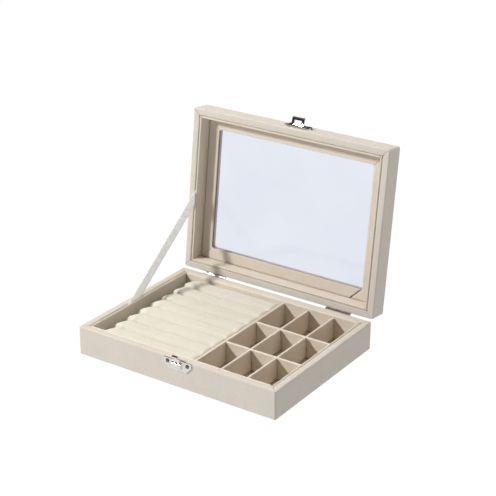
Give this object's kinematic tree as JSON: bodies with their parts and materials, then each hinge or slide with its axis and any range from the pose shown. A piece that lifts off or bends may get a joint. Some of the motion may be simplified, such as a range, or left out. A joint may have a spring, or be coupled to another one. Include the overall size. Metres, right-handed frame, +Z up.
{
  "type": "jewellery box",
  "caption": "Shallow cloth-covered jewellery box with a hinged glass-window lid held by a ribbon stay, padded ring rolls, square compartments and a front hasp.",
  "frame": {"origin": "centre of the base's footprint, on the surface it stands on", "axes": "+X to the box's right, -Y to its front with the clasp, +Z up; the lid is drawn open"},
  "size_m": [0.2, 0.1928, 0.1838],
  "materials": {
    "cover_cloth": "short-pile cream velvet on board",
    "liner_cloth": "short-pile cream velvet on card",
    "roll_cloth": "soft velour over foam",
    "ribbon_satin": "satin",
    "window_glass": "clear",
    "nickel_plate": "bright nickel plate"
  },
  "bodies": {
    "base": {"base_bottom": "cover_cloth", "base_front": "cover_cloth", "base_back": "cover_cloth", "base_left": "cover_cloth", "base_right": "cover_cloth", "base_liner_front": "liner_cloth", "base_liner_back": "liner_cloth", "base_liner_left": "liner_cloth", "base_liner_right": "liner_cloth", "ring_tray_board": "roll_cloth", "ring_roll_1": "roll_cloth", "ring_roll_2": "roll_cloth", "ring_roll_3": "roll_cloth", "ring_roll_4": "roll_cloth", "ring_roll_5": "roll_cloth", "ring_roll_6": "roll_cloth", "ring_roll_7": "roll_cloth", "ring_roll_8": "roll_cloth", "partition": "cover_cloth", "long_divider_left": "cover_cloth", "long_divider_right": "cover_cloth", "cross_divider_front": "cover_cloth", "cross_divider_back": "cover_cloth", "cell_floor_pad": "liner_cloth", "catch_plate": "nickel_plate", "catch_screws": "nickel_plate", "base_hinge_leaf_left": "nickel_plate", "base_hinge_leaf_right": "nickel_plate", "hinge_pin_left": "nickel_plate", "hinge_pin_right": "nickel_plate", "base_hinge_screws": "nickel_plate", "ribbon_stay": "ribbon_satin"},
    "lid": {"lid_front": "cover_cloth", "lid_back": "cover_cloth", "lid_left": "cover_cloth", "lid_right": "cover_cloth", "lid_top_board": "cover_cloth", "lid_liner_front": "liner_cloth", "lid_liner_back": "liner_cloth", "lid_liner_left": "liner_cloth", "lid_liner_right": "liner_cloth", "window_strip_front": "liner_cloth", "window_strip_back": "liner_cloth", "window_strip_left": "liner_cloth", "window_strip_right": "liner_cloth", "window_glass": "window_glass", "lid_hinge_leaf_left": "nickel_plate", "lid_hinge_leaf_right": "nickel_plate", "lid_hinge_screws": "nickel_plate", "hasp_plate": "nickel_plate", "hasp_screws": "nickel_plate", "hasp_pin": "nickel_plate"},
    "hasp": {"hasp_flap": "nickel_plate"}
  },
  "joints": [
    {"name": "lid_hinge", "type": "hinge", "parent": "base", "child": "lid", "pos_m": [0, 0.0761, 0.02605], "axis": [1, 0, 0], "range_deg": [0, 96.6], "deforming": ["ribbon_stay"]},
    {"name": "hasp_hinge", "type": "hinge", "parent": "lid", "child": "hasp", "pos_m": [0.005, 0.09953, 0.17676], "axis": [1, 0, 0], "range_deg": [0, 104]}
  ]
}
